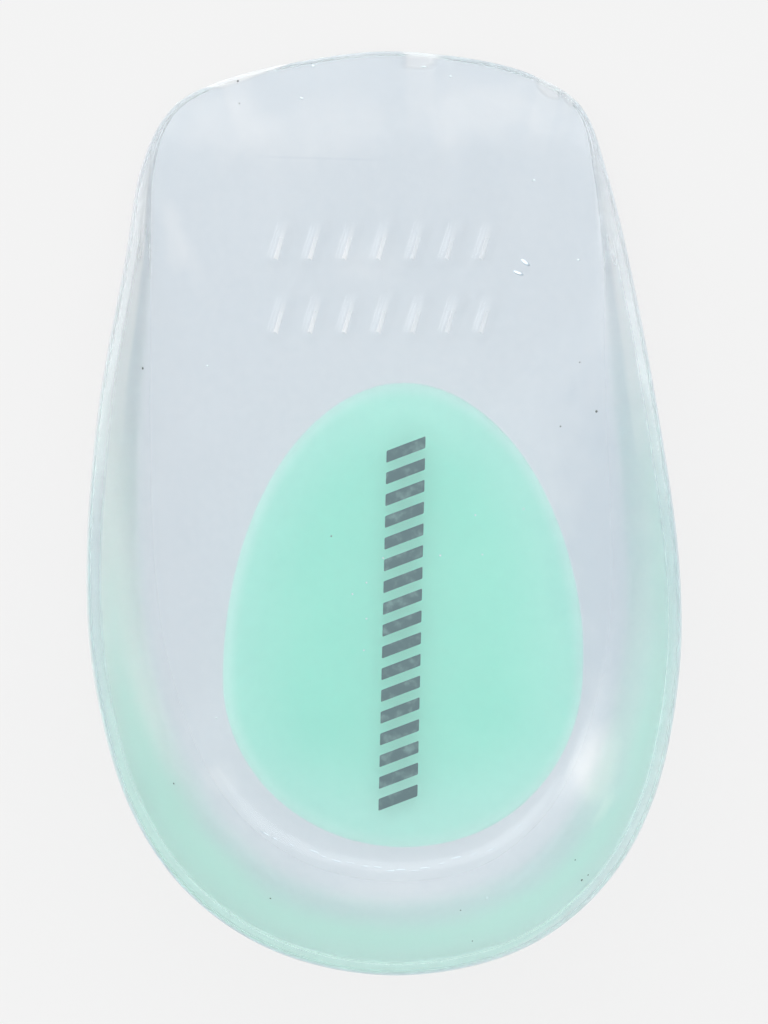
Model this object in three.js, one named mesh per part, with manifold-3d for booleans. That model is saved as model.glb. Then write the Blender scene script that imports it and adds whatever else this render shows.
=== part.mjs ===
// A heel cup: a clear silicone cup that lies in a shoe under the heel, with a softer
// egg-shaped gel pad set into its underside. Its wall is highest behind the heel, falls
// along both sides and runs out at the thin front edge, under the arch.
// Millimetres. +Z is up, +Y points to the toes, and the origin is on the floor under the
// middle of the cup.
import * as THREE from "three";
import { mergeVertices } from "three/addons/utils/BufferGeometryUtils.js";
import Module from "manifold-3d";

// The cup seen from above
const CUP_LENGTH = 105;
const CUP_WIDTH = 67.3;

// Thickness of the silicone from the back to the front
const SEAT_THICKNESS = 6.5;
const CREASE_THICKNESS = 3.6;
const FRONT_THICKNESS = 1.3;
const CREASE_FROM_FRONT = 12;
const BEND_SOFTNESS = 2.5;

// The wall behind the heel
const WALL_RISE = 14;
const WALL_RUN = 12;
const WALL_SPLAY = 8;
const WALL_CURVE = 2;
const LIP_THICKNESS = 1.9;

// The gel pad under the heel
const PAD_WIDTH = 41.4;
const PAD_FRONT_REACH = 33.7;
const PAD_BACK_REACH = 19.2;
const PAD_FROM_BACK = 14.1;
const PAD_SIDE_SHIFT = 2.3;
const PAD_EDGE_THICKNESS = 1.4;
const PAD_SHOULDER = 4.5;
const PAD_COVER = 2;
const PAD_GAP = 0.3;

// The two rows of slanted grip ribs on the slope in front of the heel
const RIB_ROW_LENGTH = 31;
const RIB_ROWS_FROM_CREASE = [9.8, 18.2];
const RIB_PITCH = 3.9;
const RIB_LENGTH = 6.4;
const RIB_SLANT = THREE.MathUtils.degToRad(18);
const RIB_TIERS = [
  { width: 2.4, height: 0.3 },
  { width: 1.2, height: 0.5 },
];
const RIB_ROOT = 0.6;

// Fineness of the faceted surface
const ROUND_STEPS = 96;
const OUTER_STEPS = 7;
const LIP_STEPS = 4;
const INNER_STEPS = 9;
const FLOOR_STEPS = 3;
const PAD_STEPS = 64;
const PAD_SHOULDER_STEPS = 5;

// Rows from the back of the cup to its front. along is a share of half the length, left and
// right are the outline's places as shares of half the width. rise, run and splay are shares
// of the back wall's height over the seat, of its inner slope and of its outer slope.
const SECTIONS = [
  { along: -1.0, left: 0.042, right: 0.042, rise: 1.0, run: 1.0, splay: 1.0 },
  { along: -0.952, left: -0.35, right: 0.436, rise: 0.99, run: 1.0, splay: 1.0 },
  { along: -0.822, left: -0.658, right: 0.722, rise: 0.96, run: 0.98, splay: 0.97 },
  { along: -0.627, left: -0.861, right: 0.905, rise: 0.89, run: 0.92, splay: 0.9 },
  { along: -0.367, left: -0.973, right: 0.993, rise: 0.75, run: 0.82, splay: 0.78 },
  { along: -0.105, left: -1.0, right: 0.996, rise: 0.61, run: 0.74, splay: 0.65 },
  { along: 0.219, left: -0.963, right: 0.926, rise: 0.41, run: 0.66, splay: 0.5 },
  { along: 0.545, left: -0.875, right: 0.831, rise: 0.19, run: 0.56, splay: 0.34 },
  { along: 0.74, left: -0.824, right: 0.756, rise: 0.06, run: 0.46, splay: 0.2 },
  { along: 0.87, left: -0.726, right: 0.682, rise: 0, run: 0.36, splay: 0.12 },
  { along: 0.935, left: -0.553, right: 0.553, rise: 0, run: 0.3, splay: 0.1 },
  { along: 0.978, left: -0.283, right: 0.347, rise: 0, run: 0.3, splay: 0.1 },
  { along: 1.0, left: 0.02, right: 0.02, rise: 0, run: 0.3, splay: 0.1 },
];

// The inner rings close in on a line down the middle, this share of the cup's length long
const SPINE_SHARE = 0.5;
const INNERMOST_RING = 0.85;

const HALF_LENGTH = CUP_LENGTH / 2;
const HALF_WIDTH = CUP_WIDTH / 2;
const PAD_CENTRE_Y = -HALF_LENGTH + PAD_FROM_BACK + PAD_BACK_REACH;
const PAD_TOP = SEAT_THICKNESS - PAD_COVER - PAD_GAP;
const SLOPE_START_Y = PAD_CENTRE_Y + PAD_FRONT_REACH;
const CREASE_Y = HALF_LENGTH - CREASE_FROM_FRONT;

const silicone = new THREE.MeshStandardMaterial({
  color: 0xd0dde4,
  roughness: 0.32,
  metalness: 0,
  transparent: true,
  opacity: 0.6,
});
const gel = new THREE.MeshStandardMaterial({ color: 0xa4e8da, roughness: 0.45, metalness: 0 });

const wasm = await Module();
wasm.setup();

// 0 before the bend, a straight rise after it, and a soft curve between the two.
function softBend(past) {
  if (past <= -BEND_SOFTNESS) return 0;
  if (past >= BEND_SOFTNESS) return past;
  return (past + BEND_SOFTNESS) ** 2 / (4 * BEND_SOFTNESS);
}

// Height of the seat over the floor: level over the pad, then sloping down to the crease
// and more steeply from there to the front edge.
function seatHeight(y) {
  const slope = (SEAT_THICKNESS - CREASE_THICKNESS) / (CREASE_Y - SLOPE_START_Y);
  const bevel = (CREASE_THICKNESS - FRONT_THICKNESS) / CREASE_FROM_FRONT;
  return (
    SEAT_THICKNESS - slope * softBend(y - SLOPE_START_Y) - (bevel - slope) * softBend(y - CREASE_Y)
  );
}

// One entry for each step round the rim, anticlockwise from the back: its place, its way in
// to the middle line, and the sizes of the wall there.
function rimStations() {
  const rightSide = SECTIONS.map((row) => ({ ...row, across: row.right }));
  const leftSide = SECTIONS.slice(1, -1)
    .reverse()
    .map((row) => ({ ...row, across: row.left }));
  const rows = [...rightSide, ...leftSide];
  const round = (points) => new THREE.CatmullRomCurve3(points, true, "catmullrom");
  const outline = round(
    rows.map((r) => new THREE.Vector3(r.across * HALF_WIDTH, r.along * HALF_LENGTH, 0)),
  );
  const wall = round(
    rows.map(
      (r) => new THREE.Vector3(r.rise * WALL_RISE, r.run * WALL_RUN, r.splay * WALL_SPLAY),
    ),
  );
  const steps = Array.from({ length: ROUND_STEPS }, (_, i) => i / ROUND_STEPS);
  const places = steps.map((t) => outline.getPoint(t));
  const middle = new THREE.Box3().setFromPoints(places).getCenter(new THREE.Vector3());
  return steps.map((t, i) => {
    const edge = places[i].sub(middle);
    const spine = new THREE.Vector3(0, edge.y * SPINE_SHARE, 0);
    const inward = spine.sub(edge);
    const reach = inward.length();
    const sizes = wall.getPoint(t);
    return {
      edge,
      inward: inward.normalize(),
      reach,
      rise: Math.max(sizes.x, 0),
      run: sizes.y,
      splay: sizes.z,
    };
  });
}

// The cup's section at one station, from the edge of its flat sole up the outer wall, over
// the lip and down the inner wall to the seat: places in from the rim, and heights.
function wallSection(station) {
  const { edge, inward, reach, rise, run, splay } = station;
  const rimHeight = seatHeight(edge.y) + rise;
  const radius = Math.min(LIP_THICKNESS / 2, rimHeight / 3);
  const wallShare = Math.min(rise / LIP_THICKNESS, 1);
  const lipEnd = THREE.MathUtils.lerp(Math.PI / 2, 0, wallShare);
  const points = [];
  const add = (inset, height) =>
    points.push(edge.clone().addScaledVector(inward, inset).setZ(height));
  for (let k = 0; k < OUTER_STEPS; k++) {
    const share = 1 - k / OUTER_STEPS;
    add(splay * share, (rimHeight - radius) * (1 - share) ** WALL_CURVE);
  }
  for (let k = 0; k <= LIP_STEPS; k++) {
    const angle = THREE.MathUtils.lerp(Math.PI, lipEnd, k / LIP_STEPS);
    add(radius + radius * Math.cos(angle), rimHeight - radius + radius * Math.sin(angle));
  }
  const lipInset = radius + radius * Math.cos(lipEnd);
  const innerRise = rimHeight - radius + radius * Math.sin(lipEnd) - seatHeight(edge.y);
  const addSeat = (inset, share) => {
    const y = edge.y + inward.y * inset;
    add(inset, seatHeight(y) + innerRise * (1 - share) ** WALL_CURVE);
  };
  for (let k = 1; k <= INNER_STEPS; k++) {
    const share = k / INNER_STEPS;
    addSeat(lipInset + run * share, share);
  }
  const seatEdge = lipInset + run;
  const innermost = reach * INNERMOST_RING;
  for (let k = 1; k <= FLOOR_STEPS; k++) {
    addSeat(THREE.MathUtils.lerp(seatEdge, innermost, k / FLOOR_STEPS), 1);
  }
  return points;
}

// Triangles across a ring, between the points that face each other over the middle line.
function ladder(start, count, up) {
  const faces = [];
  const add = (a, b, c) => faces.push(up ? [a, b, c] : [a, c, b]);
  const right = (i) => start + i;
  const left = (i) => start + ((count - i) % count);
  for (let i = 0; i < count / 2; i++) {
    if (i > 0) add(left(i), right(i), right(i + 1));
    if (i < count / 2 - 1) add(left(i), right(i + 1), left(i + 1));
  }
  return faces;
}

// A closed surface through rings of points, each ring anticlockwise seen from above and
// each one joined to the next, with a ladder of triangles across the first and the last.
function loftRings(rings) {
  const count = rings[0].length;
  const faces = [...ladder(0, count, false), ...ladder((rings.length - 1) * count, count, true)];
  for (let k = 0; k < rings.length - 1; k++) {
    for (let i = 0; i < count; i++) {
      const j = (i + 1) % count;
      const [a, b] = [k * count + i, k * count + j];
      faces.push([a, b, b + count], [a, b + count, a + count]);
    }
  }
  const geometry = new THREE.BufferGeometry().setFromPoints(rings.flat());
  geometry.setIndex(faces.flat());
  return geometry;
}

function toSolid(geometry) {
  const bare = geometry.clone();
  bare.deleteAttribute("normal");
  bare.deleteAttribute("uv");
  const merged = mergeVertices(bare, 1e-4);
  return new wasm.Manifold(
    new wasm.Mesh({
      numProp: 3,
      vertProperties: merged.attributes.position.array,
      triVerts: new Uint32Array(merged.index.array),
    }),
  );
}

function toGeometry(solid) {
  const mesh = solid.getMesh();
  const geometry = new THREE.BufferGeometry();
  geometry.setAttribute("position", new THREE.BufferAttribute(mesh.vertProperties, 3));
  geometry.setIndex(new THREE.BufferAttribute(mesh.triVerts, 1));
  geometry.computeVertexNormals();
  return geometry;
}

// A point of the pad's egg-shaped outline, drawn in by inset from its full size.
function eggPoint(angle, inset, height) {
  const across = Math.cos(angle) * (PAD_WIDTH / 2 - inset);
  const reach = Math.sin(angle) > 0 ? PAD_FRONT_REACH : PAD_BACK_REACH;
  const along = Math.sin(angle) * (reach - inset);
  return new THREE.Vector3(PAD_SIDE_SHIFT + across, PAD_CENTRE_Y + along, height);
}

// The gel pad: a flat underside, a low upright edge and a rounded shoulder up to its flat
// top. grow makes it larger all over, and depth takes it below the floor, for its recess.
function padGeometry(grow, depth) {
  const rings = [];
  const addRing = (inset, height) => {
    const ring = Array.from({ length: PAD_STEPS }, (_, i) =>
      eggPoint(-Math.PI / 2 + (2 * Math.PI * i) / PAD_STEPS, inset - grow, height),
    );
    rings.push(ring);
  };
  addRing(0, -depth);
  const shoulderHeight = PAD_TOP - PAD_EDGE_THICKNESS;
  for (let k = 0; k <= PAD_SHOULDER_STEPS; k++) {
    const angle = ((Math.PI / 2) * k) / PAD_SHOULDER_STEPS;
    addRing(
      PAD_SHOULDER * (1 - Math.cos(angle)),
      PAD_EDGE_THICKNESS + grow + shoulderHeight * Math.sin(angle),
    );
  }
  return loftRings(rings);
}

// One grip rib: a slanted round-ended bar in tiers, following the seat's slope and rooted
// in it.
function gripRib(x, y) {
  const tiers = RIB_TIERS.map(({ width, height }) => {
    const radius = width / 2;
    const straight = (RIB_LENGTH - RIB_TIERS[0].width) / 2;
    const shape = new THREE.Shape();
    shape.absarc(0, straight, radius, 0, Math.PI, false);
    shape.absarc(0, -straight, radius, Math.PI, 2 * Math.PI, false);
    const bar = new THREE.ExtrudeGeometry(shape, {
      depth: RIB_ROOT + height,
      curveSegments: 5,
      bevelEnabled: false,
    });
    bar.rotateZ(-RIB_SLANT).translate(x, y, -RIB_ROOT);
    const position = bar.getAttribute("position");
    for (let i = 0; i < position.count; i++) {
      position.setZ(i, position.getZ(i) + seatHeight(position.getY(i)));
    }
    return toSolid(bar);
  });
  return tiers.reduce((rib, tier) => rib.add(tier));
}

function gripRibs() {
  const count = Math.floor(RIB_ROW_LENGTH / RIB_PITCH);
  return RIB_ROWS_FROM_CREASE.flatMap((back) =>
    Array.from({ length: count }, (_, i) =>
      gripRib((i - (count - 1) / 2) * RIB_PITCH, CREASE_Y - back),
    ),
  );
}

function cupGeometry() {
  const sections = rimStations().map(wallSection);
  const rings = sections[0].map((_, k) => sections.map((section) => section[k]));
  const body = gripRibs().reduce((solid, rib) => solid.add(rib), toSolid(loftRings(rings)));
  const recess = toSolid(padGeometry(PAD_GAP, PAD_GAP));
  return toGeometry(body.subtract(recess));
}

function named(name, geometry, material) {
  const mesh = new THREE.Mesh(geometry, material);
  mesh.name = name;
  return mesh;
}

const heelCup = new THREE.Group();
heelCup.add(named("silicone_cup", cupGeometry(), silicone));
heelCup.add(named("gel_pad", toGeometry(toSolid(padGeometry(0, 0))), gel));

export default heelCup;
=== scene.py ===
"""The looks of a clear silicone heel cup with a mint gel pad set into its underside.

The cup lies on a pale floor with its hollow up, and the camera looks straight down on it.
Meshes are drawn in millimetres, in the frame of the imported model, and scaled to metres when
they are finished. +Y points to the toes.
"""

from __future__ import annotations

import logging
import math
from dataclasses import dataclass, field
from enum import Enum
from typing import Any, NamedTuple, Sequence

import bmesh
import bpy
from mathutils import Color, Matrix, Vector, noise
from mathutils.bvhtree import BVHTree
from mathutils.kdtree import KDTree


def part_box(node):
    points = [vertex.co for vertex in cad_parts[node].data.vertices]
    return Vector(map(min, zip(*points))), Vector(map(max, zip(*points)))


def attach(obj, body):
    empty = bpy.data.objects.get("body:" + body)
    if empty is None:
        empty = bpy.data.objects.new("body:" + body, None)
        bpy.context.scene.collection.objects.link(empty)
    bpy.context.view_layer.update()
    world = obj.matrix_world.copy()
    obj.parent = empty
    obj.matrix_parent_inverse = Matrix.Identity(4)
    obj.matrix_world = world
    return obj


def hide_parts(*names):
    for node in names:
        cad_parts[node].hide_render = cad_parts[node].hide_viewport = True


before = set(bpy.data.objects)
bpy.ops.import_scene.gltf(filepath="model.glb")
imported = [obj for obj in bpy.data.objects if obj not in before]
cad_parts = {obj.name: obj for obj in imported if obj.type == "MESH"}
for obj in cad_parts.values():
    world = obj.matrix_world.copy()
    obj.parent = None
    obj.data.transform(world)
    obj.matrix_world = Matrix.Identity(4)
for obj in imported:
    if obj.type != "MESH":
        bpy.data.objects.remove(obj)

LOG = logging.getLogger("heel_cup")
MM = 0.001
TINY = 1e-6
FULL_CHANNEL = 255

Colour = tuple[float, float, float, float]


def paint(red: int, green: int, blue: int) -> Colour:
    """A colour from its screen values.

    Args:
        red: red, 0 to 255.
        green: green, 0 to 255.
        blue: blue, 0 to 255.

    Returns:
        The colour in linear light, opaque.
    """
    screen = Color([channel / FULL_CHANNEL for channel in (red, green, blue)])
    light = screen.from_srgb_to_scene_linear()
    return (light.r, light.g, light.b, 1.0)


def smooth(value: float, start: float, end: float) -> float:
    """A soft step from 0 at start to 1 at end."""
    share = min(max((value - start) / (end - start), 0.0), 1.0)
    return share * share * (3 - 2 * share)


def mix(first: float, second: float, share: float) -> float:
    """The number that lies that share of the way from first to second."""
    return first + (second - first) * share


class Ramp(NamedTuple):
    """A soft step between two values."""

    start: float
    end: float

    def rise(self, value: float) -> float:
        """0 up to the start and 1 from the end on."""
        return smooth(value, self.start, self.end)

    def fall(self, value: float) -> float:
        """1 up to the start and 0 from the end on."""
        return 1 - self.rise(value)


class Cloud(NamedTuple):
    """Noise: the width of its patches in millimetres, its finer layers, and its stretch.

    stretch is the share of its own fineness that it keeps along each axis.
    """

    size: float
    detail: float = 2.0
    stretch: tuple[float, float, float] = (1.0, 1.0, 1.0)


class Wire:
    """A node's output that adds Math nodes to its sheet when it is used in a sum."""

    def __init__(self, sheet: Sheet, socket: bpy.types.NodeSocket | None) -> None:
        """Keeps the sheet and the output socket."""
        self.sheet = sheet
        self.socket = socket

    def _sum(self, operation: str, first: Input, second: Input) -> Wire:
        """One Math node on two values."""
        return self.sheet.node("ShaderNodeMath", {"operation": operation}, [first, second])

    def __add__(self, other: Input) -> Wire:
        """This value plus the other."""
        return self._sum("ADD", self, other)

    def __radd__(self, other: Input) -> Wire:
        """The other value plus this."""
        return self._sum("ADD", other, self)

    def __sub__(self, other: Input) -> Wire:
        """This value minus the other."""
        return self._sum("SUBTRACT", self, other)

    def __rsub__(self, other: Input) -> Wire:
        """The other value minus this."""
        return self._sum("SUBTRACT", other, self)

    def __mul__(self, other: Input) -> Wire:
        """This value times the other."""
        return self._sum("MULTIPLY", self, other)

    def __rmul__(self, other: Input) -> Wire:
        """The other value times this."""
        return self._sum("MULTIPLY", other, self)

    def step(self, ramp: Ramp) -> Wire:
        """This value's soft step on a ramp.

        Args:
            ramp: where the step starts and ends.

        Returns:
            A wire, 0 up to the start and 1 from the end on.
        """
        return self.sheet.node(
            "ShaderNodeMapRange",
            {"interpolation_type": "SMOOTHSTEP"},
            {"Value": self, "From Min": ramp.start, "From Max": ramp.end},
        )


Input = Wire | float | Sequence[float]


class Sheet:
    """The node tree of one material."""

    def __init__(self, name: str) -> None:
        """Makes a material with an empty node tree.

        Args:
            name: the material's name.
        """
        self.material = bpy.data.materials.new(name)
        self.material.use_nodes = True
        self.tree = self.material.node_tree
        self.tree.nodes.clear()

    def node(
        self,
        kind: str,
        settings: dict[str, Any] | None = None,
        inputs: dict[str, Input] | Sequence[Input] = (),
        output: str | int = 0,
    ) -> Wire:
        """Adds one node.

        Args:
            kind: the node's type.
            settings: its own settings, which are set before its sockets.
            inputs: values or wires, by socket identifier or in the sockets' order.
            output: which output the wire is drawn from, by identifier or place.

        Returns:
            A wire from that output.
        """
        made = self.tree.nodes.new(kind)
        for name, value in (settings or {}).items():
            setattr(made, name, value)
        sockets = {socket.identifier: socket for socket in made.inputs}
        pairs = inputs.items() if isinstance(inputs, dict) else zip(sockets, inputs)
        for name, value in pairs:
            if isinstance(value, Wire):
                self.tree.links.new(value.socket, sockets[name])
            else:
                sockets[name].default_value = value
        outputs = {socket.identifier: socket for socket in made.outputs}
        if not outputs:
            return Wire(self, None)
        drawn = list(outputs.values())[output] if isinstance(output, int) else outputs[output]
        return Wire(self, drawn)

    def place(self) -> Wire:
        """The point on the piece, in metres from the frame's origin."""
        return self.node("ShaderNodeTexCoord", output="Object")

    def axes(self) -> list[Wire]:
        """Splits the point's place.

        Returns:
            Its three coordinates, in millimetres.
        """
        place = self.node(
            "ShaderNodeVectorMath",
            {"operation": "SCALE"},
            {"Vector": self.place(), "Scale": 1 / MM},
        )
        return [self.node("ShaderNodeSeparateXYZ", inputs=[place], output=name) for name in "XYZ"]

    def attribute(self, name: str) -> Wire:
        """The number that the piece's mesh holds under that name."""
        return self.node("ShaderNodeAttribute", {"attribute_name": name}, output="Fac")

    def cloud(self, cloud: Cloud) -> Wire:
        """Noise round a half.

        Args:
            cloud: its size, its detail and its stretch.

        Returns:
            A wire with values from 0 to 1.
        """
        stretched = self.node(
            "ShaderNodeMapping", inputs={"Vector": self.place(), "Scale": cloud.stretch}
        )
        return self.node(
            "ShaderNodeTexNoise",
            inputs={"Vector": stretched, "Scale": 1 / (cloud.size * MM), "Detail": cloud.detail},
            output="Fac",
        )

    def blend(self, factor: Input, first: Input, second: Input) -> Wire:
        """Mixes two colours.

        Args:
            factor: how far to go from the first to the second, 0 to 1.
            first: the colour at 0.
            second: the colour at 1.

        Returns:
            The mixed colour.
        """
        return self.node(
            "ShaderNodeMix",
            {"data_type": "RGBA"},
            {"Factor_Float": factor, "A_Color": first, "B_Color": second},
            "Result_Color",
        )

    def bump(self, height: Wire, depth: float, below: Input | None = None) -> Wire:
        """A normal bent by a height.

        Args:
            height: the height, as a share of depth.
            depth: how far the surface moves at a height of 1, in millimetres.
            below: a normal that this one is laid over.

        Returns:
            The bent normal.
        """
        inputs: dict[str, Input] = {"Strength": 1.0, "Distance": depth * MM, "Height": height}
        if below is not None:
            inputs["Normal"] = below
        return self.node("ShaderNodeBump", inputs=inputs)

    def skin(self, **sockets: Input) -> bpy.types.Material:
        """Ends the material with a Principled shader.

        Args:
            sockets: its sockets, with an underscore for each space in a name.

        Returns:
            The material.
        """
        inputs = {name.replace("_", " "): value for name, value in sockets.items()}
        shader = self.node("ShaderNodeBsdfPrincipled", inputs=inputs)
        self.node("ShaderNodeOutputMaterial", inputs={"Surface": shader})
        return self.material


@dataclass(frozen=True)
class CreaseLine:
    """The faint line where the seat bends down, left of the middle, in millimetres."""

    along: float = 40.0
    lean: float = 0.027
    square_off: Ramp = Ramp(0.003, 0.03)
    height: Ramp = Ramp(0.5, 1.0)
    left_end: Ramp = Ramp(-16.0, -11.0)
    right_end: Ramp = Ramp(-3.0, 1.0)
    strength: float = 0.3

    def mask(self, sheet: Sheet) -> Wire:
        """How much of the line shows at a point.

        Args:
            sheet: the material's node tree.

        Returns:
            A share.
        """
        across, along, height = sheet.axes()
        off = along + self.lean * across - self.along
        line = self.strength * (1 - (off * off).step(self.square_off))
        line = line * height.step(self.height) * across.step(self.left_end)
        return line * (1 - across.step(self.right_end))


@dataclass(frozen=True)
class ClearSilicone:
    """Milky clear silicone, with the pad's colour painted into its wall as a painted reflection.

    The attributes of its mesh say where it is pale, partly as painted light, where the painted
    reflection tints it mint, where it is steep and outside, and how near its edge it lies, which
    sets a painted highlight glow there.
    """

    dense: Colour = paint(206, 217, 226)
    pale: Colour = paint(255, 255, 255)
    # Painted reflection: the pad's colour as it shows in the wall.
    mint: Colour = paint(211, 238, 232)
    line: Colour = paint(196, 206, 218)
    crease: CreaseLine = CreaseLine()
    drift: Cloud = Cloud(14.0, 3.0)
    drift_share: float = 0.18
    mottle: Cloud = Cloud(1.1, 3.0)
    mottle_share: float = 0.16
    clearness: float = 0.82
    bending: float = 1.41
    # Painted highlight: the edge attribute makes a pale glow along the rim, strongest at the
    # front.
    edge_light: Colour = paint(236, 244, 250)
    no_light: Colour = paint(0, 0, 0)
    edge_strength: float = 0.08
    gloss: float = 0.18
    steep: float = 0.11
    moulded: float = 0.13
    soft_edge: float = 0.3
    ripple: Cloud = Cloud(7.0, 2.0, (1.0, 0.6, 1.0))
    ripple_depth: float = 0.1
    wrinkle: Cloud = Cloud(1.3)
    wrinkle_depth: float = 0.02

    def material(self) -> bpy.types.Material:
        """Makes the finish.

        Returns:
            The material.
        """
        sheet = Sheet("clear_silicone")
        edge = sheet.attribute("edge")
        paleness = sheet.attribute("pale") + self.drift_share * (sheet.cloud(self.drift) - 0.5)
        paleness = paleness + self.mottle_share * (sheet.cloud(self.mottle) - 0.5)
        colour = sheet.blend(paleness, self.dense, self.pale)
        colour = sheet.blend(self.crease.mask(sheet), colour, self.line)
        # Painted reflection of the pad in the wall, where the mint attribute says.
        colour = sheet.blend(sheet.attribute("mint"), colour, self.mint)
        rough = self.gloss + self.steep * sheet.attribute("steep")
        rough = rough + self.moulded * sheet.attribute("outer") + self.soft_edge * edge
        wrinkled = sheet.bump(sheet.cloud(self.wrinkle), self.wrinkle_depth)
        return sheet.skin(
            Base_Color=colour,
            Roughness=rough,
            IOR=self.bending,
            Transmission_Weight=self.clearness,
            # Painted highlight: the rim glows pale.
            Emission_Color=sheet.blend(edge, self.no_light, self.edge_light),
            Emission_Strength=self.edge_strength,
            Normal=sheet.bump(sheet.cloud(self.ripple), self.ripple_depth, wrinkled),
        )


@dataclass(frozen=True)
class MintGel:
    """Soft mint gel that pales towards its thin edge and has a painted glow of its own colour."""

    deep: Colour = paint(130, 233, 204)
    pale: Colour = paint(190, 240, 224)
    swirl: Cloud = Cloud(14.0, 3.0)
    swirl_share: float = 0.25
    grain: Cloud = Cloud(0.9)
    grain_depth: float = 0.01
    gloss: float = 0.42
    grain_gloss: float = 0.1
    # Painted glow: the gel gives off a little light in its own colour.
    inner_light: float = 0.2

    def material(self) -> bpy.types.Material:
        """Makes the finish.

        Returns:
            The material.
        """
        sheet = Sheet("mint_gel")
        grain = sheet.cloud(self.grain)
        colour = sheet.blend(self.swirl_share * sheet.cloud(self.swirl), self.deep, self.pale)
        colour = sheet.blend(sheet.attribute("edge"), colour, self.pale)
        return sheet.skin(
            Base_Color=colour,
            Roughness=self.gloss + self.grain_gloss * grain,
            # Painted glow in the gel's own colour.
            Emission_Color=colour,
            Emission_Strength=self.inner_light,
            Normal=sheet.bump(grain, self.grain_depth),
        )


@dataclass(frozen=True)
class GreyInk:
    """Printed grey ink with small worn spots."""

    full: Colour = paint(76, 98, 102)
    worn: Colour = paint(104, 130, 130)
    wear: Cloud = Cloud(1.1, 4.0)
    wear_from: Ramp = Ramp(0.45, 0.8)
    gloss: float = 0.45
    worn_gloss: float = 0.2

    def material(self) -> bpy.types.Material:
        """Makes the finish.

        Returns:
            The material.
        """
        sheet = Sheet("grey_ink")
        wear = sheet.cloud(self.wear).step(self.wear_from)
        return sheet.skin(
            Base_Color=sheet.blend(wear, self.full, self.worn),
            Roughness=self.gloss + self.worn_gloss * wear,
        )


@dataclass(frozen=True)
class Fleck:
    """The colour of a speck of dust, of a small air bubble or the painted glint of a wrinkle."""

    name: str
    colour: Colour
    streak: Colour
    patch: Cloud = Cloud(0.2, 1.0)
    gloss: float = 0.5

    def material(self) -> bpy.types.Material:
        """Makes the finish.

        Returns:
            The material.
        """
        sheet = Sheet(self.name)
        colour = sheet.blend(sheet.cloud(self.patch), self.colour, self.streak)
        return sheet.skin(Base_Color=colour, Roughness=self.gloss)


def to_object(form: bmesh.types.BMesh, name: str) -> bpy.types.Object:
    """Makes a drawn mesh an object of the scene, and frees the drawing.

    Args:
        form: the mesh as drawn.
        name: the object's name.

    Returns:
        The object, linked to the scene.
    """
    mesh = bpy.data.meshes.new(name)
    form.to_mesh(mesh)
    form.free()
    made = bpy.data.objects.new(name, mesh)
    bpy.context.scene.collection.objects.link(made)
    return made


def soften(mesh: bpy.types.Mesh, sharp: float) -> None:
    """Smooths the shading of a mesh, apart from edges that turn by more than sharp degrees."""
    mesh.polygons.foreach_set("use_smooth", [True] * len(mesh.polygons))
    mesh.set_sharp_from_angle(angle=math.radians(sharp))


def drape(form: bmesh.types.BMesh, columns: Sequence[Sequence[Vector]]) -> None:
    """Draws a flat grid and lays it round a closed body.

    Args:
        form: the empty mesh to draw in.
        columns: the body's lines, side by side all the way round, each with as many points.
    """
    count, rows = len(columns), len(columns[0]) - 1
    half = 0.5
    bmesh.ops.create_grid(form, x_segments=count, y_segments=rows, size=half)
    for vert in form.verts:
        column = round((vert.co.x + half) * count) % count
        vert.co = columns[column][round((vert.co.y + half) * rows)]


class Piece:
    """A mesh that is drawn in millimetres and becomes one object of the scene."""

    def __init__(self, name: str) -> None:
        """Starts an empty mesh for a piece of that name."""
        self.name = name
        self.form = bmesh.new()

    def merge(self, reach: float = 0.001) -> None:
        """Joins points that lie together and turns the faces outwards."""
        bmesh.ops.remove_doubles(self.form, verts=self.form.verts, dist=reach)
        bmesh.ops.recalc_face_normals(self.form, faces=self.form.faces)

    def place(self, material: bpy.types.Material, sharp: float) -> bpy.types.Object:
        """Makes the object, in metres.

        Args:
            material: its finish.
            sharp: edges that turn by more than this, in degrees, stay crisp.

        Returns:
            The object, linked to the scene.
        """
        bmesh.ops.scale(self.form, vec=(MM, MM, MM), verts=self.form.verts)
        made = to_object(self.form, self.name)
        soften(made.data, sharp)
        made.data.materials.append(material)
        return made


def report(piece: bpy.types.Object) -> None:
    """Logs a finished piece's name and number of faces."""
    LOG.info("%s: %d faces", piece.name, len(piece.data.polygons))


class RimRow(NamedTuple):
    """One row of the cup's table, from the back to the front."""

    along: float
    left: float
    right: float
    rise: float
    run: float
    splay: float


RIM_ROWS = [
    RimRow(along=-1.0, left=0.042, right=0.042, rise=1.0, run=1.0, splay=1.0),
    RimRow(along=-0.952, left=-0.35, right=0.436, rise=0.99, run=1.0, splay=1.0),
    RimRow(along=-0.822, left=-0.658, right=0.722, rise=0.96, run=0.98, splay=0.97),
    RimRow(along=-0.627, left=-0.861, right=0.905, rise=0.89, run=0.92, splay=0.9),
    RimRow(along=-0.367, left=-0.973, right=0.993, rise=0.75, run=0.82, splay=0.78),
    RimRow(along=-0.105, left=-1.0, right=0.996, rise=0.61, run=0.74, splay=0.65),
    RimRow(along=0.219, left=-0.963, right=0.926, rise=0.41, run=0.66, splay=0.5),
    RimRow(along=0.545, left=-0.875, right=0.831, rise=0.19, run=0.56, splay=0.34),
    RimRow(along=0.74, left=-0.824, right=0.756, rise=0.06, run=0.46, splay=0.2),
    RimRow(along=0.87, left=-0.726, right=0.682, rise=0.0, run=0.36, splay=0.12),
    RimRow(along=0.935, left=-0.553, right=0.553, rise=0.0, run=0.3, splay=0.1),
    RimRow(along=0.978, left=-0.283, right=0.347, rise=0.0, run=0.3, splay=0.1),
    RimRow(along=1.0, left=0.02, right=0.02, rise=0.0, run=0.3, splay=0.1),
]


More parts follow.
